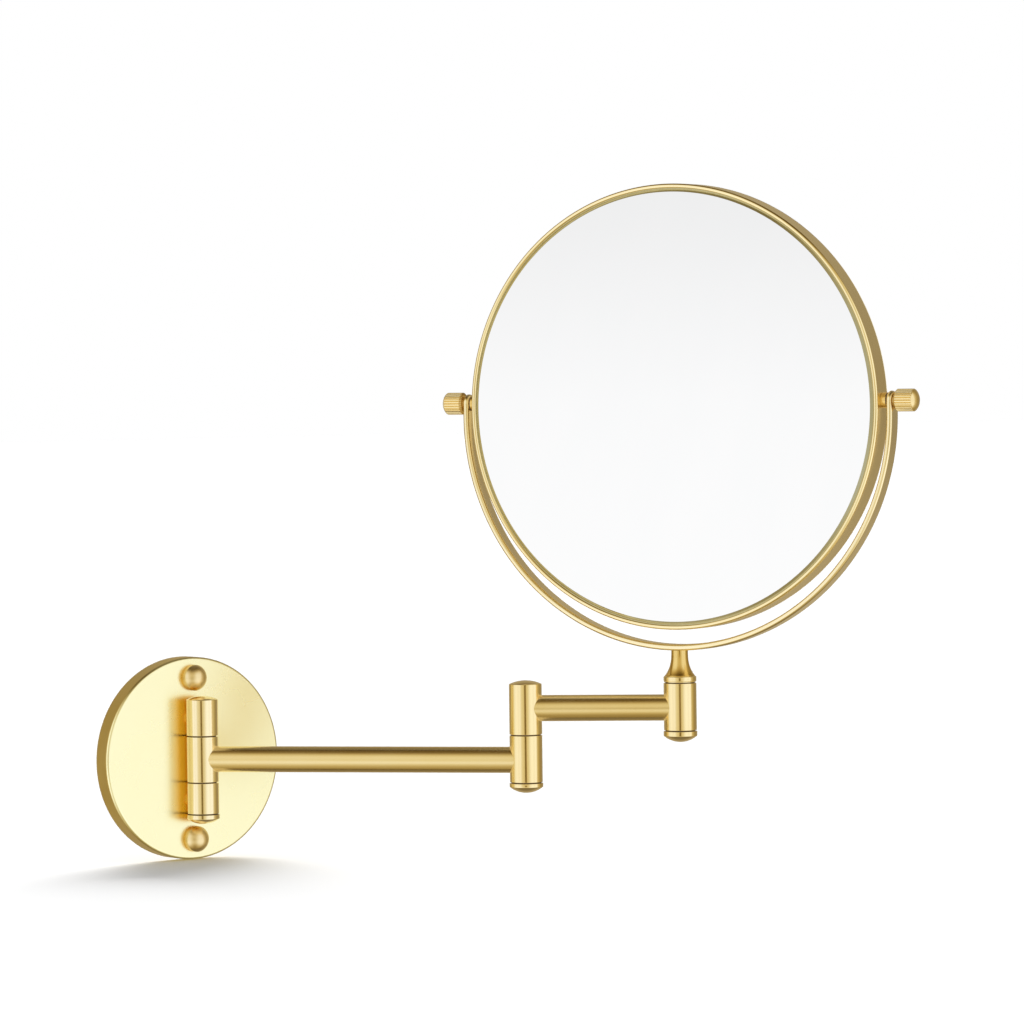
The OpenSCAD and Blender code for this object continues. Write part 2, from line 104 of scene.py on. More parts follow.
def add_ramp(tree, source, stops):
    """A colour ramp with (place, colour) stops, fed from a socket"""
    ramp = add_node(tree, "ValToRGB")
    elements = ramp.color_ramp.elements
    while len(elements) < len(stops):
        elements.new(0.5)
    for element, (place, colour) in zip(elements, stops):
        element.position = place
        element.color = (*colour, 1.0)
    tree.links.new(source, ramp.inputs["Fac"])
    return ramp.outputs["Color"]


def add_math(tree, operation, *values):
    """A math node whose inputs are sockets or plain numbers"""
    node = add_node(tree, "Math", operation=operation)
    for socket, value in zip(node.inputs, values):
        if isinstance(value, (int, float)):
            socket.default_value = value
        else:
            tree.links.new(value, socket)
    return node.outputs[0]


sky = world.node_tree
sky.nodes.clear()
direction = add_node(sky, "TexCoord")
parts = add_node(sky, "SeparateXYZ")
sky.links.new(direction.outputs["Generated"], parts.inputs[0])
bearing = add_math(sky, "ARCTAN2", parts.outputs["Y"], parts.outputs["X"])
camera_bearing = view_azimuth - math.radians(90)
turn_share = add_math(sky, "DIVIDE", add_math(sky, "SUBTRACT", bearing, camera_bearing), 2 * math.pi)
round_share = add_math(sky, "FRACT", turn_share)
height_share = add_math(sky, "MULTIPLY_ADD", parts.outputs["Z"], 0.5, 0.5)


def add_levels(tree, source, stops):
    """A ramp of grey levels over (place, level) stops"""
    return add_ramp(tree, source, [(place, (level, level, level)) for place, level in stops])


walls = add_levels(sky, round_share, [
    (0.000, 0.72), (0.038, 0.76), (0.058, 0.86), (0.080, 0.96), (0.100, 1.05), (0.119, 1.12), (0.141, 1.06),
    (0.163, 1.00), (0.190, 1.11), (0.215, 1.05), (0.235, 0.72), (0.260, 0.58), (0.288, 0.45), (0.320, 0.34),
    (0.363, 0.32), (0.450, 0.42), (0.571, 0.40), (0.630, 0.43), (0.677, 0.20), (0.710, 0.36), (0.738, 0.76),
    (0.766, 0.96), (0.794, 1.02), (0.850, 1.10), (0.883, 1.03), (0.902, 0.92), (0.921, 0.82), (0.960, 0.74),
    (1.000, 0.72)])
storeys = add_levels(sky, height_share, [
    (0.000, 0.34), (0.024, 0.42), (0.054, 0.52), (0.090, 0.64), (0.140, 0.80), (0.199, 1.00), (0.258, 1.14),
    (0.321, 1.18), (0.396, 1.12), (0.430, 1.06), (0.465, 1.02), (0.535, 1.02), (0.604, 1.06), (0.679, 1.04),
    (0.742, 1.00), (0.808, 0.86), (0.866, 0.62), (0.915, 0.34), (0.955, 0.14), (0.980, 0.12),
    (1.000, 0.16)])
gap_width = 0.026
gap_height = 0.075
gap_middle = -0.008
gap_level = 0.465
gap_softness = 0.3
gap_shade = 0.06
gap_turn = add_math(sky, "SUBTRACT", turn_share, gap_middle)
from_gap = add_math(sky, "ABSOLUTE", add_math(sky, "WRAP", gap_turn, 0.5, -0.5))
from_eye = add_math(sky, "ABSOLUTE", add_math(sky, "SUBTRACT", height_share, gap_level))
gap_across = add_math(sky, "SMOOTH_MIN", add_math(sky, "DIVIDE", from_gap, gap_width), 1.0, gap_softness)
gap_along = add_math(sky, "SMOOTH_MIN", add_math(sky, "DIVIDE", from_eye, gap_height), 1.0, gap_softness)
gap_light = add_math(sky, "MAXIMUM", add_math(sky, "MAXIMUM", gap_across, gap_along), gap_shade)
cloth_level = 0.32
from_behind = add_levels(sky, round_share, [(0.320, 0.0), (0.360, 0.7), (0.600, 0.7), (0.660, 0.0)])
lit_walls = add_math(sky, "MULTIPLY", add_math(sky, "MULTIPLY", walls, storeys), gap_light)
level = add_math(sky, "MAXIMUM", lit_walls, add_math(sky, "MULTIPLY", from_behind, cloth_level))
brightest = 1.25
warm = add_ramp(sky, add_math(sky, "DIVIDE", level, brightest), [
    (0.000, (0.00, 0.00, 0.00)), (0.088, (0.11, 0.065, 0.012)), (0.224, (0.28, 0.20, 0.07)),
    (0.400, (0.50, 0.40, 0.19)), (0.504, (0.63, 0.51, 0.28)), (0.568, (0.71, 0.61, 0.37)),
    (0.664, (0.83, 0.765, 0.56)), (0.752, (0.94, 0.92, 0.82)), (0.780, (0.98, 0.99, 0.98)),
    (0.824, (1.03, 1.05, 1.08)), (1.000, (1.20, 1.22, 1.26))])
card_middle = 0.8545
card_level = 0.490
card_reach = 0.020
card_reach_up = 0.040
card_turn = add_math(sky, "ABSOLUTE", add_math(sky, "SUBTRACT", round_share, card_middle))
card_rise = add_math(sky, "ABSOLUTE", add_math(sky, "SUBTRACT", height_share, card_level))
on_card = add_math(sky, "MULTIPLY", add_math(sky, "LESS_THAN", card_turn, card_reach),
                   add_math(sky, "LESS_THAN", card_rise, card_reach_up))
card = add_levels(sky, height_share, [
    (0.450, 1.02), (0.475, 1.01), (0.4955, 0.985), (0.505, 0.935), (0.514, 0.882), (0.530, 0.87)])
grey_cloth = add_node(sky, "Mix", data_type="RGBA", blend_type="MULTIPLY", B=(1.0, 0.86, 0.62, 1.0))
grey_cloth.inputs["Factor"].default_value = 1.0
sky.links.new(level, grey_cloth.inputs["A"])
walls_and_cloth = add_node(sky, "Mix", data_type="RGBA")
sky.links.new(from_behind, walls_and_cloth.inputs["Factor"])
sky.links.new(warm, walls_and_cloth.inputs["A"])
sky.links.new(grey_cloth.outputs["Result"], walls_and_cloth.inputs["B"])
all_round = add_node(sky, "Mix", data_type="RGBA")
sky.links.new(on_card, all_round.inputs["Factor"])
sky.links.new(walls_and_cloth.outputs["Result"], all_round.inputs["A"])
sky.links.new(card, all_round.inputs["B"])
studio = add_node(sky, "Background", Strength=1.0)
sky.links.new(all_round.outputs["Result"], studio.inputs["Color"])
room = add_node(sky, "Background", Color=(0.975, 0.985, 1.0, 1.0), Strength=0.53)
backdrop = add_node(sky, "Background", Color=(1.0, 1.0, 1.0, 1.0), Strength=1.0)
seen = add_node(sky, "LightPath")
bounced = add_node(sky, "Background", Color=(1.0, 0.95, 0.80, 1.0), Strength=1.0)
second_bounce = 2.5
softened = 0.5
is_later = add_math(sky, "GREATER_THAN", seen.outputs["Ray Depth"], second_bounce)
twice = add_math(sky, "MULTIPLY", is_later, softened)
by_bounce = add_node(sky, "MixShader")
sky.links.new(twice, by_bounce.inputs[0])
sky.links.new(studio.outputs[0], by_bounce.inputs[1])
sky.links.new(bounced.outputs[0], by_bounce.inputs[2])
by_gloss = add_node(sky, "MixShader")
sky.links.new(seen.outputs["Is Glossy Ray"], by_gloss.inputs[0])
sky.links.new(room.outputs[0], by_gloss.inputs[1])
sky.links.new(by_bounce.outputs[0], by_gloss.inputs[2])
by_sight = add_node(sky, "MixShader")
sky.links.new(seen.outputs["Is Camera Ray"], by_sight.inputs[0])
sky.links.new(by_gloss.outputs[0], by_sight.inputs[1])
sky.links.new(backdrop.outputs[0], by_sight.inputs[2])
sky_output = add_node(sky, "OutputWorld")
sky.links.new(by_sight.outputs[0], sky_output.inputs["Surface"])

sun_height = math.radians(26)
sun_bearing = math.radians(54)
sun_way = Vector((math.cos(sun_height) * math.cos(sun_bearing),
                  math.cos(sun_height) * math.sin(sun_bearing), math.sin(sun_height)))
bpy.ops.object.light_add(type="SUN", location=sun_way, rotation=sun_way.to_track_quat("Z", "Y").to_euler())
back_light = bpy.context.object
back_light.name = "back_light"
back_light.data.energy = 5.0
back_light.data.angle = math.radians(50)
back_light.visible_glossy = False

floor_size = 24.0
floor_gap = 0.0004
floor_level = cad_box[0][2] - floor_gap
bpy.ops.mesh.primitive_plane_add(size=floor_size, location=(0, 0, floor_level))
floor = bpy.context.object
floor.name = "floor"
floor.visible_glossy = False
paper = bpy.data.materials.new("white_paper")
paper.use_nodes = True
paper_shader = paper.node_tree.nodes["Principled BSDF"]
paper_shader.inputs["Base Color"].default_value = (0.90, 0.90, 0.90, 1.0)
paper_shader.inputs["Roughness"].default_value = 0.9
paper_shader.inputs["Specular IOR Level"].default_value = 0.1
floor.data.materials.append(paper)

# ---------------------------------------------------------------- Wall plate
# The round cover that hides the wall screws: a shallow pressed cup with a rounded front edge, gold
# plated, its face buffed to an even sheen and its rim left with the fine lines of the lathe.
plate_low, plate_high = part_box("wall_plate")
plate_radius = (plate_high.x - plate_low.x) / 2
plate_depth = -plate_low.y
plate_wall = 0.0015
plate_edge = 0.0014
edge_share = 0.6
same_point = 2e-6


def arc(radius, height, bend, start, end, count=8):
    """Points of an arc of radius bend about (radius, height), between two angles in degrees"""
    angles = [math.radians(start + (end - start) * i / count) for i in range(count + 1)]
    return [(radius + bend * math.cos(a), height + bend * math.sin(a)) for a in angles]


def dome(radius, height, rise, count=14):
    """Points of a low dome, from its rim at (radius, height) to its crown

    rise is negative for a dome that hangs down.
    """
    ball = (radius ** 2 + rise ** 2) / (2 * abs(rise))
    rim = math.asin(radius / ball)
    side = math.copysign(1.0, rise)
    angles = [rim * (1 - i / count) for i in range(count + 1)]
    return [(ball * math.sin(a), height + side * (ball * math.cos(a) - ball + abs(rise))) for a in angles]


def ease_edges(width, segments=3, sharpness=32, held_in=True):
    """In edit mode, rounds every edge sharper than an angle in degrees

    held_in keeps the rounding narrower than the shortest edge beside it.
    """
    bpy.ops.mesh.select_mode(type="EDGE")
    bpy.ops.mesh.select_all(action="DESELECT")
    bpy.ops.mesh.edges_select_sharp(sharpness=math.radians(sharpness))
    bpy.ops.mesh.bevel(offset=width, segments=segments, affect="EDGES", clamp_overlap=held_in)


def turned(name, outline, steps=144, eased=0.0):
    """A solid turned on a lathe about Z: the outline is drawn as (radius, height) points and spun round"""
    bpy.ops.object.select_all(action="DESELECT")
    bpy.ops.mesh.primitive_plane_add(size=0.01)
    piece = bpy.context.object
    piece.name = name
    bpy.ops.object.mode_set(mode="EDIT")
    bpy.ops.mesh.select_mode(type="VERT")
    bpy.ops.mesh.select_all(action="SELECT")
    bpy.ops.mesh.merge(type="CENTER")
    bpy.ops.transform.translate(value=(outline[0][0], 0, outline[0][1]))
    for before, after in zip(outline, outline[1:]):
        step = (after[0] - before[0], 0, after[1] - before[1])
        bpy.ops.mesh.extrude_region_move(TRANSFORM_OT_translate={"value": step})
    bpy.ops.mesh.select_all(action="SELECT")
    bpy.ops.mesh.spin(steps=steps, angle=2 * math.pi, center=(0, 0, 0), axis=(0, 0, 1))
    bpy.ops.mesh.select_all(action="SELECT")
    bpy.ops.mesh.remove_doubles(threshold=same_point)
    bpy.ops.mesh.normals_make_consistent(inside=False)
    if eased:
        ease_edges(eased)
    bpy.ops.object.mode_set(mode="OBJECT")
    return piece


def smoothed(piece, crease=32):
    """Shades a piece smooth except at edges sharper than crease degrees, with its large faces left flat"""
    bpy.context.view_layer.objects.active = piece
    piece.select_set(True)
    bpy.ops.object.shade_smooth_by_angle(angle=math.radians(crease))
    even = piece.modifiers.new("even", "WEIGHTED_NORMAL")
    even.keep_sharp = True
    even.weight = 100
    bpy.ops.object.modifier_apply(modifier=even.name)
    return piece


def set_down(piece, spot, lean=0.0, turn=0.0, crease=32):
    """Leans a piece about X and turns it about Z, in radians, moves it to its spot and smooths it"""
    bpy.ops.object.select_all(action="DESELECT")
    bpy.context.view_layer.objects.active = piece
    piece.select_set(True)
    piece.rotation_euler = (lean, 0, turn)
    piece.location = spot
    bpy.ops.object.transform_apply(location=True, rotation=True, scale=True)
    return smoothed(piece, crease)


def gold(name, bright, deep, roughness, grain, turn=0.0, bump=0.25, smudge=0.04, coat=0.0, painted_plate_reflection=None):
    """Gold plate over brass

    grain is the length of the finish's fine lines along X, Y and Z, turned about Z. The last argument is a
    deeper tone, a painted reflection of the gold plate painted in towards the wall, and the two places
    along
    Y between which it comes in.
    """
    material = bpy.data.materials.new(name)
    material.use_nodes = True
    tree = material.node_tree
    shader = tree.nodes["Principled BSDF"]
    shader.inputs["Metallic"].default_value = 1.0
    shader.inputs["Coat Weight"].default_value = coat
    shader.inputs["Coat Roughness"].default_value = 0.08
    place = add_node(tree, "TexCoord")
    along = add_node(tree, "Mapping", vector_type="TEXTURE", Rotation=(0, 0, turn), Scale=grain)
    tree.links.new(place.outputs["Object"], along.inputs["Vector"])
    lines = add_node(tree, "TexNoise", Scale=1.0, Detail=4.0, Roughness=0.6)
    tree.links.new(along.outputs[0], lines.inputs["Vector"])
    haze = add_node(tree, "TexNoise", Scale=45.0, Detail=3.0, Roughness=0.55)
    tree.links.new(place.outputs["Object"], haze.inputs["Vector"])
    rough_lines = add_node(tree, "MapRange", To_Min=roughness - smudge / 2, To_Max=roughness + smudge / 2)
    tree.links.new(lines.outputs[0], rough_lines.inputs["Value"])
    rough_haze = add_node(tree, "MapRange", From_Min=0.35, From_Max=0.75, To_Min=0.0, To_Max=smudge)
    tree.links.new(haze.outputs[0], rough_haze.inputs["Value"])
    total = add_math(tree, "ADD", rough_lines.outputs[0], rough_haze.outputs[0])
    tree.links.new(total, shader.inputs["Roughness"])
    colour = add_ramp(tree, haze.outputs[0], [(0.30, deep), (0.70, bright)])
    # Painted reflection: towards the wall the colour turns to the deeper tone, standing for the gold
    # plate's reflection.
    if painted_plate_reflection:
        tone, reflection_starts, reflection_full = painted_plate_reflection
        spread = add_node(tree, "SeparateXYZ")
        tree.links.new(place.outputs["Object"], spread.inputs[0])
        amount = add_node(tree, "MapRange", From_Min=reflection_starts, From_Max=reflection_full)
        tree.links.new(spread.outputs["Y"], amount.inputs["Value"])
        blend = add_node(tree, "Mix", data_type="RGBA", B=(*tone, 1.0))
        tree.links.new(amount.outputs[0], blend.inputs["Factor"])
        tree.links.new(colour, blend.inputs["A"])
        colour = blend.outputs["Result"]
    tree.links.new(colour, shader.inputs["Base Color"])
    relief = add_node(tree, "Bump", Strength=bump, Distance=0.00002)
    tree.links.new(lines.outputs[0], relief.inputs["Height"])
    tree.links.new(relief.outputs[0], shader.inputs["Normal"])
    return material


def fit(piece, body, slot, *nodes):
    """The piece rides on a body and stands for CAD nodes, which it hides. slot is not used."""
    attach(piece, body)
    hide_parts(*nodes)


plate = turned("wall_plate_cover", [
    (0, plate_depth), *arc(plate_radius - plate_edge, plate_depth - plate_edge, plate_edge, 90, 0),
    (plate_radius, 0), (plate_radius - plate_wall, 0),
    (plate_radius - plate_wall, plate_depth - plate_wall), (0, plate_depth - plate_wall)], steps=192)
set_down(plate, (0, 0, 0), lean=math.radians(90))
buffed_gold = gold("buffed_gold", (0.99, 0.94, 0.60), (0.98, 0.92, 0.57), 0.27, (0.03, 0.03, 0.03),
                   bump=0.01, smudge=0.02, coat=0.12)
rim_gold = gold("rim_gold", (0.94, 0.77, 0.34), (0.91, 0.72, 0.29), 0.33, (0.04, 0.0003, 0.04), bump=0.5)
plate.data.materials.append(buffed_gold)
plate.data.materials.append(rim_gold)
for face in plate.data.polygons:
    on_front = face.center.y < -plate_depth + plate_edge * edge_share
    face.material_index = 0 if on_front else 1
fit(plate, "wall_base", "polished_gold", "wall_plate")

# ---------------------------------------------------------------- Cap nuts
# Two round cap nuts with domed heads, turned from brass bar and plated, that pull the plate on to its
# studs. Towards the plate they are painted a deeper orange, a painted reflection of the gold plate.
nuts_low, nuts_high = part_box("cap_nuts")
nut_radius = (nuts_high.x - nuts_low.x) / 2
nut_height = -plate_depth - nuts_low.y
nut_side = 0.0026
nut_ease = 0.0002
nut_spread = (nuts_high.z - nuts_low.z) / 2 - nut_radius
# Painted reflection: the nuts turn a deeper orange towards the plate.
nut_gold = gold("nut_gold", (0.93, 0.76, 0.43), (0.88, 0.70, 0.37), 0.31, (0.02, 0.0003, 0.02), bump=0.3,
                painted_plate_reflection=((0.80, 0.48, 0.10), -0.0125, -0.0098))
for nut_name, side in (("upper_cap_nut", 1), ("lower_cap_nut", -1)):
    nut = turned(nut_name, [
        (0, 0), (nut_radius - nut_ease, 0), (nut_radius, nut_ease),
        *dome(nut_radius, nut_side, nut_height - nut_side, 20)], steps=96)
    set_down(nut, (0, -plate_depth, side * nut_spread), lean=math.radians(90))
    nut.data.materials.append(nut_gold)
    fit(nut, "wall_base", "turned_gold", "cap_nuts")

# ---------------------------------------------------------------- Bracket, studs and hidden screws
# Behind the plate a zinc-plated steel strip is screwed to the wall. Its two studs carry the plate, and
# two screws from behind hold the fixed knuckles. Pins, spring washers and nuts are the same steel.
rough_swing = 0.06


def plain_finish(name, bright, deep, roughness, metallic, patch):
    """A plain finish that varies a little in colour and roughness in patches of about that size"""
    material = bpy.data.materials.new(name)
    material.use_nodes = True
    tree = material.node_tree
    shader = tree.nodes["Principled BSDF"]
    shader.inputs["Metallic"].default_value = metallic
    place = add_node(tree, "TexCoord")
    mottle = add_node(tree, "TexNoise", Scale=1.0 / patch, Detail=4.0, Roughness=0.6)
    tree.links.new(place.outputs["Object"], mottle.inputs["Vector"])
    colour = add_ramp(tree, mottle.outputs[0], [(0.3, deep), (0.7, bright)])
    tree.links.new(colour, shader.inputs["Base Color"])
    rough = add_node(tree, "MapRange", To_Min=roughness - rough_swing, To_Max=roughness + rough_swing)
    tree.links.new(mottle.outputs[0], rough.inputs["Value"])
    tree.links.new(rough.outputs[0], shader.inputs["Roughness"])
    relief = add_node(tree, "Bump", Strength=0.2, Distance=0.00003)
    tree.links.new(mottle.outputs[0], relief.inputs["Height"])
    tree.links.new(relief.outputs[0], shader.inputs["Normal"])
    return material


def dress(material, *names):
    """Gives CAD nodes a finish"""
    for name in names:
        node = frame["nodes"][name]
        node.data.materials.clear()
        node.data.materials.append(material)


zinc = plain_finish("zinc_plate", (0.66, 0.67, 0.69), (0.52, 0.53, 0.56), 0.34, 1.0, 0.004)
dress(zinc, "wall_bracket", "bracket_studs", "knuckle_screws", "wall_pivot_pin", "wall_pivot_spring_washer",
      "wall_pivot_nut", "elbow_pin", "elbow_spring_washer", "elbow_nut", "swivel_pin",
      "swivel_spring_washer", "swivel_nut", "stem_screw", "left_tilt_screw", "right_tilt_screw")

# ---------------------------------------------------------------- Friction washers
# Thin washers stamped from brown nylon sheet, threaded on the pins and screws between the parts that
# turn on each other. They show as a fine dark line.
# This dark brown also paints the end caps' grooves, as painted shade.
brown_nylon_and_groove_shade = plain_finish("brown_nylon_and_groove_shade", (0.20, 0.13, 0.06), (0.13, 0.085, 0.04), 0.55, 0.0, 0.002)
dress(brown_nylon_and_groove_shade, "wall_pivot_washers", "elbow_washer", "swivel_washer", "tilt_washers")

# ---------------------------------------------------------------- Fixed wall knuckles
# Two short brass barrels, each on a round seat against the plate. The upper has a blind hole for the pin
# and a low domed top, and the lower is bored through, with a pocket for the spring washer and nut.
wall_pivot = Vector(joints["wall_swing"]["pos_m"])
wall_radius = (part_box("upper_wall_knuckle")[1].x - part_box("upper_wall_knuckle")[0].x) / 2
pin_radius = (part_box("wall_pivot_pin")[1].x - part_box("wall_pivot_pin")[0].x) / 2
pin_grip = 0.011
top_rise = 0.0017
pocket_radius = 0.0052
pocket_depth = 0.0086
foot_radius = 0.0046
foot_ease = 0.0001
foot_rise = 0.008
foot_reach = 0.8
knuckle_ease = 0.00018
ring_lines = (0.03, 0.03, 0.00025)
knuckle_gold = gold("knuckle_gold", (0.95, 0.79, 0.45), (0.93, 0.76, 0.41), 0.11, ring_lines,
                    bump=0.10, smudge=0.03)
# Painted reflection: the wall barrels, their seats and end cap, and the inner arm's barrel turn a deeper
# orange towards the plate.
wall_knuckle_gold = gold("wall_knuckle_gold", (0.96, 0.83, 0.53), (0.94, 0.80, 0.49), 0.11, ring_lines,
                         bump=0.10, smudge=0.03, painted_plate_reflection=((0.80, 0.44, 0.05), -0.0165, -0.0125))


def domed_barrel(name, radius, low, high):
    """A knuckle whose top is a low dome, with a blind pin hole from below"""
    rim = high - top_rise
    return turned(name, [
        (0, low + pin_grip), (pin_radius, low + pin_grip), (pin_radius, low), (radius, low),
        *dome(radius, rim, top_rise)], eased=knuckle_ease)


def pocket_barrel(name, radius, low, high):
    """A knuckle bored through for the pin, with a pocket from below for the fixings"""
    return turned(name, [
        (pin_radius, high), (pin_radius, low + pocket_depth), (pocket_radius, low + pocket_depth),
        (pocket_radius, low), (radius, low), (radius, high), (pin_radius, high)], eased=knuckle_ease)


upper_low, upper_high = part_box("upper_wall_knuckle")
lower_low, lower_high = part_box("lower_wall_knuckle")
upper_barrel = domed_barrel("upper_wall_barrel", wall_radius, upper_low.z, upper_high.z)
lower_barrel = pocket_barrel("lower_wall_barrel", wall_radius, lower_low.z, lower_high.z)
for barrel, node in ((upper_barrel, "upper_wall_knuckle"), (lower_barrel, "lower_wall_knuckle")):
    set_down(barrel, wall_pivot)
    barrel.data.materials.append(wall_knuckle_gold)
    fit(barrel, "wall_base", "satin_gold", node)
seat_height = upper_low.z + foot_rise
seat_length = -plate_depth - wall_pivot.y - wall_radius * foot_reach
for seat_name, height, node in (("upper_wall_seat", seat_height, "upper_wall_knuckle"),
                                ("lower_wall_seat", -seat_height, "lower_wall_knuckle")):
    seat = turned(seat_name, [
        (0, 0), (foot_radius, 0), (foot_radius, seat_length), (0, seat_length)], steps=64, eased=foot_ease)
    set_down(seat, (0, -plate_depth, height), lean=math.radians(90))
    seat.data.materials.append(wall_knuckle_gold)
    fit(seat, "wall_base", "satin_gold", node)

# ---------------------------------------------------------------- End caps
# A turned brass cap closes each pivot from below: a plug pressed into the pocket, a plain band a hair
# wider than the knuckle, and a domed end. The groove over the band is painted dark brown as painted shade.
plug_height = 0.0025
cap_proud = 0.0002
groove_depth = 0.0007
groove_height = 0.0005
hair = 0.00001


def end_cap(name, node, seam, radius, band):
    """A cap whose band hangs from the seam, with its plug above and its dome down to the node's foot"""
    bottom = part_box(node)[0].z
    proud = radius + cap_proud
    neck = radius - groove_depth
    cap = turned(name, [
        (0, seam + plug_height), (pocket_radius, seam + plug_height), (pocket_radius, seam), (neck, seam),
        (neck, seam - groove_height), (proud, seam - groove_height),
        *dome(proud, seam - band, bottom - seam + band)], eased=knuckle_ease)
    # Painted shade: the groove's faces, and the hidden plug's, take the dark brown second finish.
    for face in cap.data.polygons:
        face.material_index = 1 if face.center.z > seam - groove_height - hair else 0
    return cap


def in_two_finishes(piece, first, second):
    """Gives a piece its two finishes, the second on the faces marked 1"""
    piece.data.materials.append(first)
    piece.data.materials.append(second)


wall_cap = end_cap("wall_end_cap", "wall_pivot_cap", lower_low.z, wall_radius, 0.0024)
set_down(wall_cap, wall_pivot)
in_two_finishes(wall_cap, wall_knuckle_gold, brown_nylon_and_groove_shade)
fit(wall_cap, "wall_base", "satin_gold", "wall_pivot_cap")

# ---------------------------------------------------------------- Inner arm
# A drawn brass tube, scribed at each end to the barrel that it is brazed to: the moving wall knuckle at
# one end and the elbow's lower knuckle at the other. The tube is satin and the barrels are brighter.
elbow = Vector(joints["elbow_swing"]["pos_m"])
elbow_radius = (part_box("elbow_cap")[1].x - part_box("elbow_cap")[0].x) / 2 - cap_proud
tube_low, tube_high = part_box("inner_arm_tube")
tube_radius = (tube_high.z - tube_low.z) / 2
cutter_length = 0.05
tube_lines = (0.06, 0.00022, 0.00022)


def plain_barrel(name, radius, low, high):
    """A knuckle bored straight through for the pin"""
    return turned(name, [
        (pin_radius, low), (radius, low), (radius, high), (pin_radius, high), (pin_radius, low)],
        eased=knuckle_ease)


def cut_away(piece, radius, spot):
    """Scribes a piece to an upright barrel"""
    bpy.ops.mesh.primitive_cylinder_add(vertices=144, radius=radius, depth=cutter_length, location=spot)
    cutter = bpy.context.object
    scribe = piece.modifiers.new("scribe", "BOOLEAN")
    scribe.operation = "DIFFERENCE"
    scribe.solver = "EXACT"
    scribe.object = cutter
    bpy.context.view_layer.objects.active = piece
    bpy.ops.object.modifier_apply(modifier=scribe.name)
    bpy.data.objects.remove(cutter)


def arm_tube(name, start, end, start_radius, end_radius):
    """A tube between two upright pivots, scribed to the barrel at each"""
    span = end - start
    bpy.ops.object.select_all(action="DESELECT")
    bpy.ops.mesh.primitive_cylinder_add(vertices=128, radius=tube_radius, depth=span.length,
                                        rotation=(0, math.radians(90), 0))
    tube = bpy.context.object
    tube.name = name
    bpy.ops.object.transform_apply(location=True, rotation=True, scale=True)
    set_down(tube, (start + end) / 2, turn=math.atan2(span.y, span.x))
    cut_away(tube, start_radius, start)
    cut_away(tube, end_radius, end)
    bpy.ops.object.select_all(action="DESELECT")
    return smoothed(tube)


inner_turn = math.atan2(elbow.y - wall_pivot.y, elbow.x - wall_pivot.x)
inner_tube_gold = gold("inner_tube_gold", (0.98, 0.82, 0.47), (0.96, 0.79, 0.43), 0.22, tube_lines,
                       turn=inner_turn, bump=0.30)
mid_low, mid_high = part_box("inner_arm_knuckle")
mid_barrel = plain_barrel("inner_arm_barrel", wall_radius, mid_low.z, mid_high.z)
set_down(mid_barrel, wall_pivot)
mid_barrel.data.materials.append(wall_knuckle_gold)
fit(mid_barrel, "inner_arm", "satin_gold", "inner_arm_knuckle")
inner_tube = arm_tube("inner_arm_rod", wall_pivot, elbow, wall_radius, elbow_radius)
inner_tube.data.materials.append(inner_tube_gold)
fit(inner_tube, "inner_arm", "satin_gold", "inner_arm_tube")

# ---------------------------------------------------------------- Elbow
# Two barrels, one on the other: the lower belongs to the inner arm and holds the fixings in its pocket,
# and the upper, with its domed top, belongs to the outer arm and grips the pin.
elbow_lower_low, elbow_lower_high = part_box("elbow_lower_knuckle")
elbow_upper_low, elbow_upper_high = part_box("elbow_upper_knuckle")
lower_elbow = pocket_barrel("elbow_lower_barrel", elbow_radius, elbow_lower_low.z, elbow_lower_high.z)
set_down(lower_elbow, elbow)
lower_elbow.data.materials.append(knuckle_gold)
fit(lower_elbow, "inner_arm", "satin_gold", "elbow_lower_knuckle")
elbow_end = end_cap("elbow_end_cap", "elbow_cap", elbow_lower_low.z, elbow_radius, 0.0022)
set_down(elbow_end, elbow)
in_two_finishes(elbow_end, knuckle_gold, brown_nylon_and_groove_shade)
fit(elbow_end, "inner_arm", "satin_gold", "elbow_cap")
upper_elbow = domed_barrel("elbow_upper_barrel", elbow_radius, elbow_upper_low.z, elbow_upper_high.z)
set_down(upper_elbow, elbow)
upper_elbow.data.materials.append(knuckle_gold)
fit(upper_elbow, "outer_arm", "satin_gold", "elbow_upper_knuckle")

# ---------------------------------------------------------------- Outer arm
# The shorter tube, of the same drawn brass and one knuckle higher than the inner arm. It is brazed to
# the elbow's upper knuckle at one end and to the head knuckle at the other.
swivel = Vector(joints["head_swivel"]["pos_m"])
outer_low, outer_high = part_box("outer_arm_tube")
outer_level = Vector((0, 0, (outer_low.z + outer_high.z) / 2))
outer_turn = math.atan2(swivel.y - elbow.y, swivel.x - elbow.x)
outer_tube_gold = gold("outer_tube_gold", (0.98, 0.82, 0.47), (0.96, 0.79, 0.43), 0.22, tube_lines,
                       turn=outer_turn, bump=0.30)
outer_tube = arm_tube("outer_arm_rod", elbow + outer_level, swivel + outer_level,
                      elbow_radius, elbow_radius)
outer_tube.data.materials.append(outer_tube_gold)
fit(outer_tube, "outer_arm", "satin_gold", "outer_arm_tube")
head_low, head_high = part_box("head_knuckle")
head_barrel = pocket_barrel("head_barrel", elbow_radius, head_low.z, head_high.z)
set_down(head_barrel, swivel)
head_barrel.data.materials.append(knuckle_gold)
fit(head_barrel, "outer_arm", "satin_gold", "head_knuckle")
head_end = end_cap("head_end_cap", "head_cap", head_low.z, elbow_radius, 0.0026)
set_down(head_end, swivel)
in_two_finishes(head_end, knuckle_gold, brown_nylon_and_groove_shade)
fit(head_end, "outer_arm", "satin_gold", "head_cap")
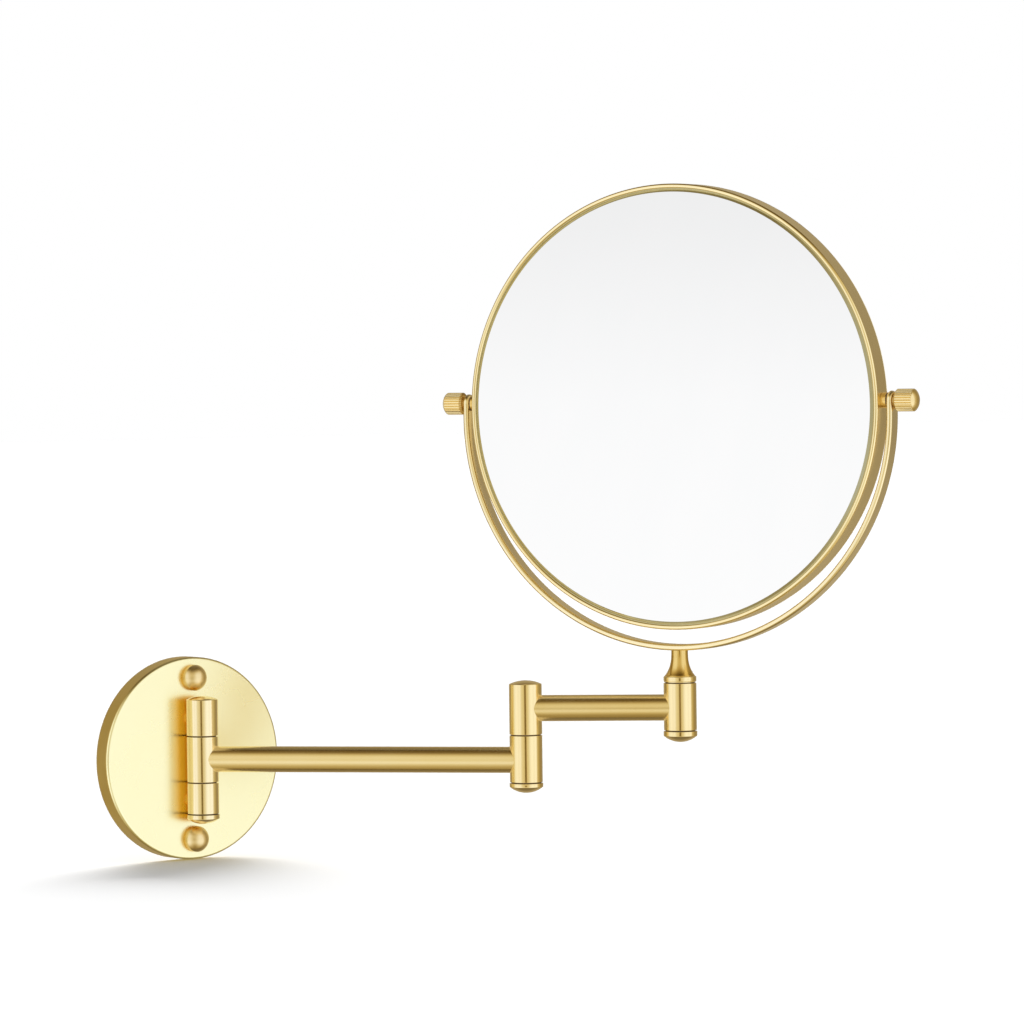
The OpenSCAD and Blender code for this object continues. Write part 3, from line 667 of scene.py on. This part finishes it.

# ---------------------------------------------------------------- Stem
# One turned piece: a collar that sits on the head knuckle, and a hollow-sided flare that draws in to the
# yoke. The flare is painted a deeper, darker gold as painted shade. The swivel pin is screwed in from below
# and a countersunk screw from above.
stem_low, stem_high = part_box("yoke_stem")
collar_height = 0.0027
flare_radius = 0.0070
neck_radius = 0.0038
flare_curve = 2.9
flare_steps = 20
stem_grip = 0.0076
foot_inset = 0.0002
foot_bend = 0.0005
foot_level = 0.0007
shoulder_bend = 0.0006
flare_low = stem_low.z + collar_height
flare_rise = stem_high.z - flare_low
flare_draw = flare_radius - neck_radius
flare = [(neck_radius + flare_draw * (1 - i / flare_steps) ** flare_curve,
          flare_low + flare_rise * i / flare_steps) for i in range(flare_steps + 1)]
stem = turned("yoke_stem_turned", [
    (0, stem_low.z + stem_grip), (pin_radius, stem_low.z + stem_grip), (pin_radius, stem_low.z),
    (elbow_radius - foot_inset, stem_low.z),
    *arc(elbow_radius - foot_bend, stem_low.z + foot_level, foot_bend, -60, 0, 4),
    *arc(elbow_radius - shoulder_bend, flare_low - shoulder_bend, shoulder_bend, 0, 80, 5),
    *flare, (0, stem_high.z)])
# Painted shade: the flare's faces take a deeper, darker gold than the collar.
on_flare = neck_radius * 0.9
for face in stem.data.polygons:
    face.material_index = 1 if face.center.z > flare_low and face.center.xy.length > on_flare else 0
set_down(stem, swivel)
flare_painted_shade = gold("flare_painted_shade", (0.82, 0.60, 0.23), (0.77, 0.55, 0.19), 0.15, ring_lines,
                  bump=0.10, smudge=0.03)
in_two_finishes(stem, knuckle_gold, flare_painted_shade)
fit(stem, "yoke", "satin_gold", "yoke_stem")

# ---------------------------------------------------------------- Yoke
# A flat brass bar bent to a half hoop, with a short straight leg at each side that ends round at the
# tilt axle. Its long edges are rounded and polished, and it is drilled for the tilt screws and the stem.
axle = Vector(joints["head_tilt"]["pos_m"])
axle_way = Vector((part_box("right_knob")[0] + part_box("right_knob")[1]) / 2 - axle).normalized()
head_turn = math.atan2(axle_way.y, axle_way.x)
yoke_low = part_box("yoke_band")[0]
bar_width = 0.0086
bar_thick = 0.0028
bar_edge = 0.0013
yoke_radius = 0.1072
bend_level = yoke_low.z + yoke_radius
bar_turns = 180
bar_join = 1e-6
end_inset = 1e-5
nose_share = 0.8
hole_radius = 0.00215
stem_hole_radius = 0.0015
drill_past = 0.002
stem_drill_past = 0.001
sink_past = 0.0008


def pick_faces(keep):
    """In edit mode, selects the faces whose centre and normal pass a test"""
    bpy.ops.mesh.select_mode(type="FACE")
    bpy.ops.mesh.select_all(action="DESELECT")
    bpy.ops.object.mode_set(mode="OBJECT")
    for face in bpy.context.object.data.polygons:
        face.select = keep(face.center, face.normal)
    bpy.ops.object.mode_set(mode="EDIT")


def pick_edges(keep):
    """In edit mode, selects the edges whose two ends pass a test"""
    bpy.ops.mesh.select_mode(type="EDGE")
    bpy.ops.mesh.select_all(action="DESELECT")
    bpy.ops.object.mode_set(mode="OBJECT")
    mesh = bpy.context.object.data
    for edge in mesh.edges:
        first, last = edge.vertices
        edge.select = keep(mesh.vertices[first].co, mesh.vertices[last].co)
    bpy.ops.object.mode_set(mode="EDIT")


def bored(piece, radius, start, end, wider=0.0):
    """Drills a bare piece from one point to another; wider is how far the hole opens out by the end"""
    span = end - start
    bpy.ops.object.select_all(action="DESELECT")
    bpy.ops.mesh.primitive_cone_add(vertices=64, radius1=radius, radius2=radius + wider, depth=span.length,
                                    location=(start + end) / 2,
                                    rotation=span.to_track_quat("Z", "Y").to_euler())
    drill = bpy.context.object
    bore = piece.modifiers.new("bore", "BOOLEAN")
    bore.operation = "DIFFERENCE"
    bore.solver = "MANIFOLD"
    bore.object = drill
    bpy.context.view_layer.objects.active = piece
    bpy.ops.object.modifier_apply(modifier=bore.name)
    piece.data.materials.clear()
    bpy.data.objects.remove(drill)


bpy.ops.object.select_all(action="DESELECT")
bpy.ops.mesh.primitive_plane_add(size=1.0)
yoke = bpy.context.object
yoke.name = "yoke_bar"
yoke.scale = (bar_thick, bar_width, 1.0)
yoke.location = (yoke_radius - bar_thick / 2, 0, bend_level)
bpy.ops.object.transform_apply(location=True, rotation=True, scale=True)
bpy.ops.object.mode_set(mode="EDIT")
bpy.ops.mesh.select_all(action="SELECT")
bpy.ops.mesh.spin(steps=bar_turns, angle=math.pi, center=(0, 0, bend_level), axis=(0, -1, 0))
leg_top = axle.z + bar_width / 2
pick_faces(lambda centre, normal: abs(centre.z - bend_level) < end_inset and abs(normal.z) > 0.9)
bpy.ops.mesh.extrude_region_move(TRANSFORM_OT_translate={"value": (0, 0, leg_top - bend_level)})
bpy.ops.mesh.select_all(action="SELECT")
bpy.ops.mesh.remove_doubles(threshold=bar_join)
bpy.ops.mesh.normals_make_consistent(inside=False)
pick_edges(lambda a, b: min(a.z, b.z) > leg_top - end_inset and abs(a.y - b.y) < bar_join)
bpy.ops.mesh.bevel(offset=bar_width / 2 - end_inset, segments=14, affect="EDGES", clamp_overlap=True)
ease_edges(bar_edge, segments=6, sharpness=40, held_in=False)
bpy.ops.object.mode_set(mode="OBJECT")
for side in (-1, 1):
    bored(yoke, hole_radius, Vector((side * (yoke_radius - bar_thick - drill_past), 0, axle.z)),
          Vector((side * (yoke_radius + drill_past), 0, axle.z)))
screw_low, screw_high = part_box("stem_screw")
screw_head_radius = (screw_high.x - screw_low.x) / 2
sink = screw_head_radius - stem_hole_radius
bored(yoke, stem_hole_radius, Vector((0, 0, yoke_low.z - stem_drill_past)),
      Vector((0, 0, screw_high.z + stem_drill_past)))
bored(yoke, stem_hole_radius, Vector((0, 0, screw_high.z - sink)), Vector((0, 0, screw_high.z + sink_past)),
      wider=sink + sink_past)
for face in yoke.data.polygons:
    face.material_index = 1 if abs(face.center.y) > bar_width / 2 - bar_edge * nose_share else 0
set_down(yoke, (swivel.x, swivel.y, 0), turn=head_turn)
yoke_gold = gold("yoke_gold", (0.97, 0.86, 0.60), (0.95, 0.83, 0.56), 0.18, (0.04, 0.00025, 0.04),
                 turn=head_turn, bump=0.12)
nose_gold = gold("nose_gold", (0.94, 0.81, 0.51), (0.92, 0.78, 0.47), 0.13, (0.02, 0.02, 0.02),
                 turn=head_turn, bump=0.04, smudge=0.03)
in_two_finishes(yoke, yoke_gold, nose_gold)
fit(yoke, "yoke", "satin_gold", "yoke_band")

# ---------------------------------------------------------------- Mirror frame and rear bezel
# A hoop of thin brass strip with its front edge rolled into a round bead, which holds the plain glass. A
# second beaded ring is pressed in from behind to hold the magnifying glass.
frame_low, frame_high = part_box("mirror_frame")
mirror_centre = (frame_low + frame_high) / 2
ring_radius = (frame_high.z - frame_low.z) / 2
half_depth = 0.0065
bead_radius = 0.0011
hoop_wall = 0.0012
lip_level = 0.0053
rear_lip_level = 0.0044
seam_level = 0.0054
seam_ease = 0.00015
seam_angle = -8
slip = 0.00002
bead_inner = ring_radius - 2 * bead_radius
hoop_inner = ring_radius - hoop_wall
hoop = turned("mirror_hoop", [
    (hoop_inner, -seam_level), (ring_radius - seam_ease, -seam_level),
    (ring_radius, -seam_level + seam_ease),
    *arc(ring_radius - bead_radius, half_depth - bead_radius, bead_radius, 0, 180, 14),
    (bead_inner, lip_level), (hoop_inner, lip_level), (hoop_inner, -seam_level)], steps=288)
bezel = turned("rear_bezel_ring", [
    (bead_inner, -rear_lip_level), (hoop_inner - slip, -rear_lip_level), (hoop_inner - slip, -seam_level),
    (ring_radius - seam_ease, -seam_level), (ring_radius, -seam_level - seam_ease),
    *arc(ring_radius - bead_radius, bead_radius - half_depth, bead_radius, seam_angle, -180, 14),
    (bead_inner, -rear_lip_level)], steps=288)
ring_gold = gold("ring_gold", (0.95, 0.83, 0.54), (0.93, 0.80, 0.50), 0.27, (0.04, 0.00025, 0.04),
                 turn=head_turn, bump=0.45)
bead_gold = gold("bead_gold", (0.95, 0.81, 0.48), (0.92, 0.77, 0.44), 0.09, (0.02, 0.02, 0.02),
                 turn=head_turn, bump=0.04, smudge=0.03)
for ring, node in ((hoop, "mirror_frame"), (bezel, "rear_bezel")):
    in_two_finishes(ring, ring_gold, bead_gold)
    for face in ring.data.polygons:
        face.material_index = 1 if abs(face.center.z) > seam_level else 0
    set_down(ring, mirror_centre, lean=math.radians(90), turn=head_turn)
    fit(ring, "mirror_head", "satin_gold", node)

# ---------------------------------------------------------------- Glasses and spacer
# A flat plain mirror with a ground bevel in front and a dished magnifying mirror behind, both silvered,
# with a ring of foam between them that keeps them from rattling. The bevel is painted olive, a painted
# reflection of the gold frame, and the dished mirror's rim is painted dark as painted shade.
glass_radius = 0.1002
glass_thick = 0.0018
sag = 0.0042
glass_ball = (glass_radius ** 2 + sag ** 2) / (2 * sag)


def silvered(name):
    """Silvered glass: clean, very slightly cool, with the faintest film of wiping marks"""
    material = bpy.data.materials.new(name)
    material.use_nodes = True
    tree = material.node_tree
    shader = tree.nodes["Principled BSDF"]
    shader.inputs["Metallic"].default_value = 1.0
    place = add_node(tree, "TexCoord")
    wipe = add_node(tree, "Mapping", vector_type="TEXTURE", Rotation=(0.5, 0.2, head_turn),
                    Scale=(0.02, 0.1, 0.05))
    tree.links.new(place.outputs["Object"], wipe.inputs["Vector"])
    film = add_node(tree, "TexNoise", Scale=1.0, Detail=3.0, Roughness=0.5)
    tree.links.new(wipe.outputs[0], film.inputs["Vector"])
    tone = add_ramp(tree, film.outputs[0], [(0.3, (0.965, 0.968, 0.972)), (0.7, (0.975, 0.975, 0.978))])
    tree.links.new(tone, shader.inputs["Base Color"])
    rough = add_node(tree, "MapRange", From_Min=0.4, From_Max=0.8, To_Min=0.004, To_Max=0.02)
    tree.links.new(film.outputs[0], rough.inputs["Value"])
    tree.links.new(rough.outputs[0], shader.inputs["Roughness"])
    return material


def dish(radius):
    """How far forward the dished glass's rear face lies at a radius"""
    return sag - rear_lip_level - (glass_ball - math.sqrt(glass_ball ** 2 - radius ** 2))


mirror_silver = silvered("mirror_silver")
# Painted shade: outside this radius the dished mirror's rim is painted dark, standing for the shadowed gap
# at the frame.
rim_painted_shade = plain_finish("rim_painted_shade", (0.16, 0.13, 0.08), (0.11, 0.09, 0.05), 0.25, 0.0, 0.003)
shade_rim_radius = 0.0990
bevel_width = 0.0014
bevel_rise = 0.0008
edge_face = lip_level - slip
bevel_foot = bead_inner - 0.0001
bevel_head = bevel_foot - bevel_width
plain_glass = turned("plain_mirror", [
    (0, edge_face + bevel_rise), (bevel_head, edge_face + bevel_rise), (bevel_foot, edge_face),
    (glass_radius, edge_face), (glass_radius, edge_face - glass_thick), (0, edge_face - glass_thick)],
    steps=288)
dish_steps = 24
curve = [*[shade_rim_radius * i / dish_steps for i in range(dish_steps + 1)], glass_radius]
dished_glass = turned("magnifying_mirror", [
    *[(r, dish(r) + glass_thick) for r in curve], *[(r, dish(r) + slip) for r in reversed(curve)]],
    steps=192)
# Painted reflection: the plain mirror's bevel is painted an olive mirror tone, standing for the gold
# frame's reflection.
bevel_painted_reflection = plain_finish("bevel_painted_reflection", (0.55, 0.54, 0.42), (0.50, 0.49, 0.37), 0.13, 1.0, 0.004)
for glass, rim_finish, clear_radius, node in (
        (plain_glass, bevel_painted_reflection, bevel_head, "front_glass"),
        (dished_glass, rim_painted_shade, shade_rim_radius, "rear_glass")):
    in_two_finishes(glass, mirror_silver, rim_finish)
    for face in glass.data.polygons:
        face.material_index = 1 if face.center.xy.length > clear_radius else 0
    set_down(glass, mirror_centre, lean=math.radians(90), turn=head_turn, crease=20)
    fit(glass, "mirror_head", "mirror_glass", node)
grey_foam = plain_finish("grey_foam", (0.10, 0.10, 0.10), (0.05, 0.05, 0.05), 0.9, 0.0, 0.0015)
dress(grey_foam, "glass_spacer")

# ---------------------------------------------------------------- Tilt bosses
# A small turned brass boss is riveted through the hoop at each side and threaded for the tilt screw. It
# holds the hoop clear of the yoke.
boss_low, boss_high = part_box("right_boss")
boss_radius = (boss_high.z - boss_low.z) / 2
boss_end = 0.1039
boss_sunk = 0.0001
boss_ease = 0.0002
boss_start = ring_radius - boss_sunk
screw_radius = (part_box("right_tilt_screw")[1].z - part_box("right_tilt_screw")[0].z) / 2
boss_gold = gold("boss_gold", (0.80, 0.55, 0.18), (0.74, 0.49, 0.14), 0.18, (0.00025, 0.03, 0.03),
                 turn=head_turn, bump=0.2)
sides = (("left", -1), ("right", 1))
for side_name, side in sides:
    boss = turned(side_name + "_tilt_boss", [
        (screw_radius, boss_start), (boss_radius, boss_start), (boss_radius, boss_end),
        (screw_radius, boss_end), (screw_radius, boss_start)], steps=64, eased=boss_ease)
    set_down(boss, axle, lean=math.radians(90), turn=head_turn + side * math.radians(90))
    boss.data.materials.append(boss_gold)
    fit(boss, "mirror_head", "satin_gold", side_name + "_boss")

# ---------------------------------------------------------------- Tilt knobs
# Turned brass thumb knobs on steel screws: a short neck against the yoke, a straight-fluted grip with a
# bevelled inner end, and a smooth outer end with a low dome. The neck and the bevelled end are painted a
# deep brown gold as painted shade.
knob_radius = 0.0051
knob_gap = 0.00005
neck_length = 0.0007
grip_length = 0.0094
knob_length = 0.0114
knob_start = yoke_radius + knob_gap
neck_end = knob_start + neck_length
grip_end = knob_start + grip_length
knob_end = knob_start + knob_length
knob_neck = 0.0032
knob_bevel = 0.0009
grip_ease = 0.0002
step_inset = 0.0003
crown_inset = 0.0009
crown_rise = 0.0013
flutes = 28
columns = 8
skin = 0.00005
flute_depth = 0.00036
flute_side = flute_depth * 0.35
knob_gold = gold("knob_gold", (0.92, 0.75, 0.40), (0.88, 0.70, 0.35), 0.22, (0.0004, 0.02, 0.02),
                 turn=head_turn, bump=0.25)
# Painted shade: the neck and bevelled inner end take this deep brown gold, standing for their dark
# reflection.
knob_neck_painted_shade = gold("knob_neck_painted_shade", (0.66, 0.45, 0.16), (0.58, 0.38, 0.12), 0.22, (0.0004, 0.02, 0.02),
                 turn=head_turn, bump=0.25)
for side_name, side in sides:
    knob = turned(side_name + "_tilt_knob", [
        (screw_radius, knob_start), (knob_neck, knob_start), (knob_neck, neck_end),
        (knob_radius - knob_bevel, neck_end), (knob_radius, neck_end + knob_bevel),
        (knob_radius, grip_end - grip_ease), (knob_radius - grip_ease, grip_end),
        (knob_radius - step_inset, grip_end), (knob_radius - step_inset, grip_end + grip_ease),
        *dome(knob_radius - crown_inset, knob_end - crown_rise, crown_rise, 8)], steps=flutes * columns)
    bpy.ops.object.mode_set(mode="EDIT")
    for offset, depth in ((0, flute_depth), (1, flute_side), (-1, flute_side)):
        bpy.ops.mesh.select_mode(type="VERT")
        bpy.ops.mesh.select_all(action="DESELECT")
        bpy.ops.object.mode_set(mode="OBJECT")
        for vertex in knob.data.vertices:
            column = round(math.atan2(vertex.co.y, vertex.co.x) / (2 * math.pi) * flutes * columns)
            in_column = column % columns == offset % columns
            vertex.select = in_column and vertex.co.xy.length > knob_radius - skin
        bpy.ops.object.mode_set(mode="EDIT")
        shrink = 1 - depth / knob_radius
        bpy.ops.transform.resize(value=(shrink, shrink, 1), center_override=(0, 0, 0))
    bpy.ops.object.mode_set(mode="OBJECT")
    for face in knob.data.polygons:
        face.material_index = 1 if face.center.z < neck_end + knob_bevel else 0
    set_down(knob, axle, lean=math.radians(90), turn=head_turn + side * math.radians(90))
    in_two_finishes(knob, knob_gold, knob_neck_painted_shade)
    fit(knob, side_name + "_knob", "turned_gold", side_name + "_knob")

# ---------------------------------------------------------------- Shadow under the plate
# The back light is flagged off everything but the plate, its barrels and their end cap, so that only
# the parts at the wall shade the floor.
shaders = bpy.data.collections.new("shading_parts")
for piece in (plate, upper_barrel, lower_barrel, wall_cap, mid_barrel):
    shaders.objects.link(piece)
back_light.light_linking.blocker_collection = shaders
